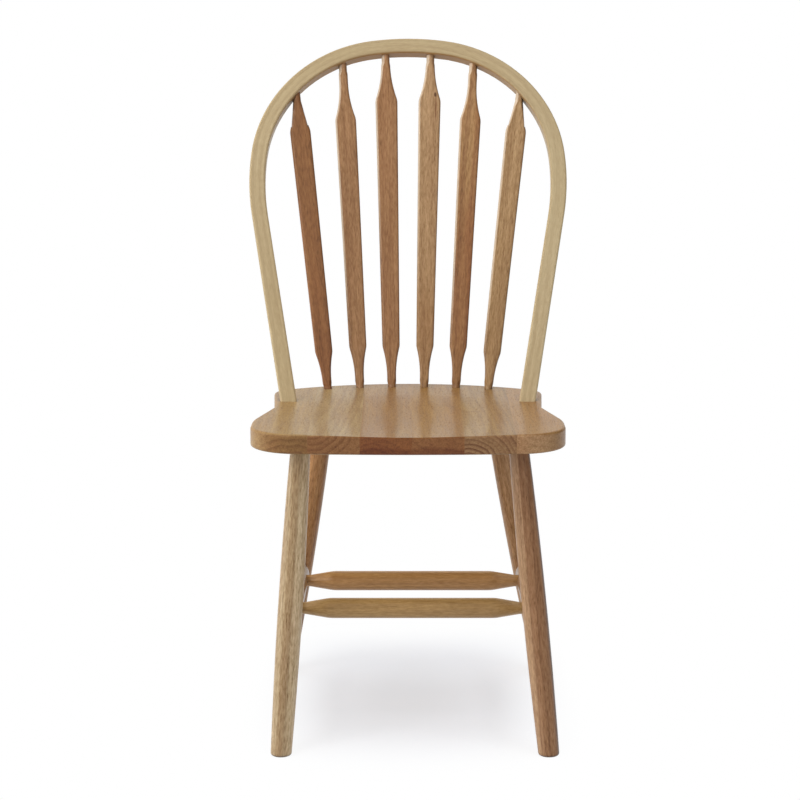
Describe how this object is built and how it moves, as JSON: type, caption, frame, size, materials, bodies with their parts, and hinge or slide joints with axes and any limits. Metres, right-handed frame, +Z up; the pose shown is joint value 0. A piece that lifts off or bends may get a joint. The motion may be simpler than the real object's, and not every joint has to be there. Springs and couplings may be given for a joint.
{
  "type": "windsor chair",
  "caption": "Windsor side chair with an arched bow back, arrow-shaped slats, a dished wooden seat and raked turned legs joined by stretchers.",
  "frame": {"origin": "on the floor, under the middle of the chair's overall width and depth", "axes": "+Z up, -Y out of the front of the seat, +X to the right as seen from in front"},
  "size_m": [0.473, 0.5428, 0.9625],
  "materials": {
    "seat_wood": "clear satin lacquer over open-grained light hardwood",
    "bow_wood": "clear satin lacquer over open-grained light hardwood",
    "slat_wood": "clear satin lacquer over open-grained light hardwood",
    "leg_wood": "clear satin lacquer over open-grained light hardwood",
    "stretcher_wood": "clear satin lacquer over open-grained light hardwood"
  },
  "bodies": {
    "root": {"seat_stave_1": "seat_wood", "seat_stave_2": "seat_wood", "seat_stave_3": "seat_wood", "seat_stave_4": "seat_wood", "seat_stave_5": "seat_wood", "seat_stave_6": "seat_wood", "bow": "bow_wood", "arrow_slat_1": "slat_wood", "arrow_slat_2": "slat_wood", "arrow_slat_3": "slat_wood", "arrow_slat_4": "slat_wood", "arrow_slat_5": "slat_wood", "arrow_slat_6": "slat_wood", "front_left_leg": "leg_wood", "front_right_leg": "leg_wood", "rear_left_leg": "leg_wood", "rear_right_leg": "leg_wood", "left_side_stretcher": "stretcher_wood", "right_side_stretcher": "stretcher_wood", "front_cross_stretcher": "stretcher_wood", "rear_cross_stretcher": "stretcher_wood"}
  },
  "joints": []
}
